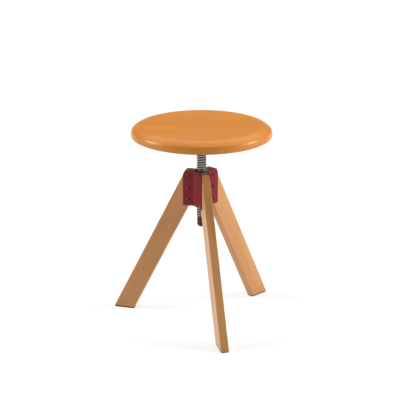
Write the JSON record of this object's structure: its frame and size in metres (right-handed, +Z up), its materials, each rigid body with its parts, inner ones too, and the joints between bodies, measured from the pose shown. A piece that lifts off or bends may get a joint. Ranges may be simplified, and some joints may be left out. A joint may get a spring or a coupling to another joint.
{
  "type": "machinist stool",
  "caption": "Tripod stool of splayed wooden boards; its round dished seat turns, rises and falls on a coarse screw spindle in a folded steel hub.",
  "frame": {"origin": "on the floor, on the spindle's axis", "axes": "+Z up along the spindle, -Y towards the front leg, +X to the right of it"},
  "size_m": [0.4292, 0.4225, 0.524],
  "materials": {
    "seat_wood": "satin varnish",
    "leg_wood": "satin varnish",
    "hub_paint": "semi-gloss enamel",
    "bolt_paint": "semi-gloss enamel",
    "spindle_steel": "bright machined",
    "zinc_steel": "zinc plated",
    "cap_plastic": "satin",
    "glide_plastic": "matt"
  },
  "bodies": {
    "stand": {"hub_nut": "hub_paint", "bracket_right": "hub_paint", "bracket_rear": "hub_paint", "bracket_left": "hub_paint", "leg_front": "leg_wood", "glide_front": "glide_plastic", "bolts_front": "bolt_paint", "sleeve_nuts_front": "bolt_paint", "leg_right": "leg_wood", "glide_right": "glide_plastic", "bolts_right": "bolt_paint", "sleeve_nuts_right": "bolt_paint", "leg_left": "leg_wood", "glide_left": "glide_plastic", "bolts_left": "bolt_paint", "sleeve_nuts_left": "bolt_paint"},
    "lift": {"end_cap": "cap_plastic"},
    "seat_turn": {"seat": "seat_wood", "seat_plate": "zinc_steel", "seat_plate_screws": "zinc_steel", "boss_pin": "zinc_steel", "spindle": "spindle_steel"}
  },
  "joints": [
    {"name": "spindle_lift", "type": "slide", "parent": "stand", "child": "lift", "axis": [0, 0, 1], "range_m": [-0.0762, 0.03016]},
    {"name": "seat_spin", "type": "hinge", "parent": "lift", "child": "seat_turn", "pos_m": [0, 0, 0.4], "axis": [0, 0, 1], "range_deg": [-4320, 1710]}
  ],
  "couplings": [
    {"joint": "spindle_lift", "follows": "seat_spin", "m_per_rad": 0.0010106}
  ]
}
